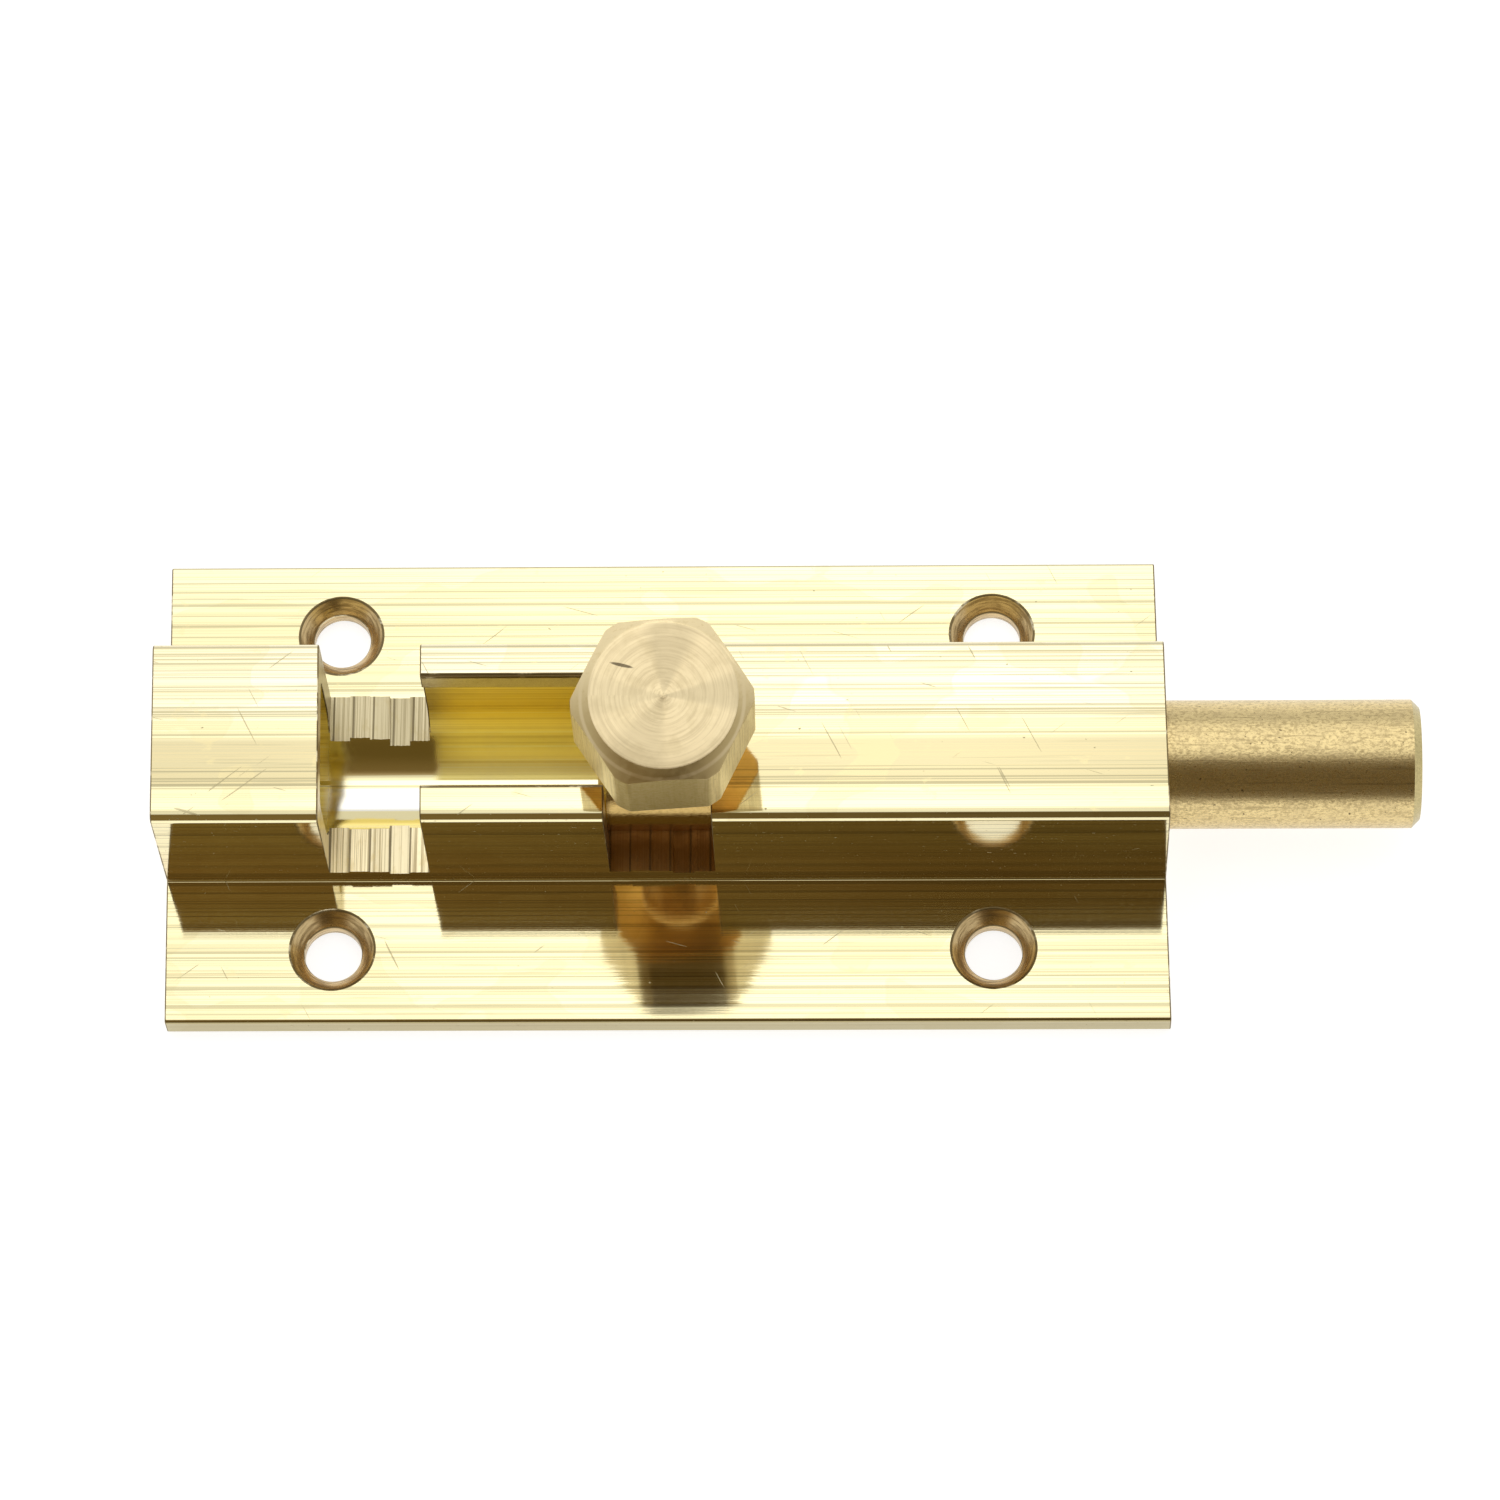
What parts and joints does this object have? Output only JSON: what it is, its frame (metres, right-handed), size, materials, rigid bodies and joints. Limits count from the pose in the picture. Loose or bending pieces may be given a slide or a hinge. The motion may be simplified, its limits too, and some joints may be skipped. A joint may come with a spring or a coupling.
{
  "type": "barrel bolt",
  "caption": "Solid brass straight barrel bolt: an extruded plate and box housing, a round sliding bolt, and a hexagonal knob that turns down into cross cuts to lock it",
  "frame": {"origin": "centre of the mounting plate's underside, on the door's face", "axes": "+X the way the bolt is thrown, +Y across the plate, +Z away from the door"},
  "size_m": [0.0636, 0.025, 0.0197],
  "materials": {
    "brass_body": "drawn and polished, lengthways streaks",
    "brass_rod": "satin, ground round",
    "brass_knob": "as turned, dull satin"
  },
  "bodies": {
    "housing": {"extruded_body": "brass_body"},
    "bolt": {"bolt_rod": "brass_rod"},
    "knob": {"hex_knob": "brass_knob"}
  },
  "joints": [
    {"name": "bolt_slide", "type": "slide", "parent": "housing", "child": "bolt", "axis": [1, 0, 0], "range_m": [-0.0148, 0]},
    {"name": "knob_turn", "type": "hinge", "parent": "bolt", "child": "knob", "pos_m": [0.00025, 0, 0.00483], "axis": [1, 0, 0], "range_deg": [-92.1, 75.5]}
  ]
}
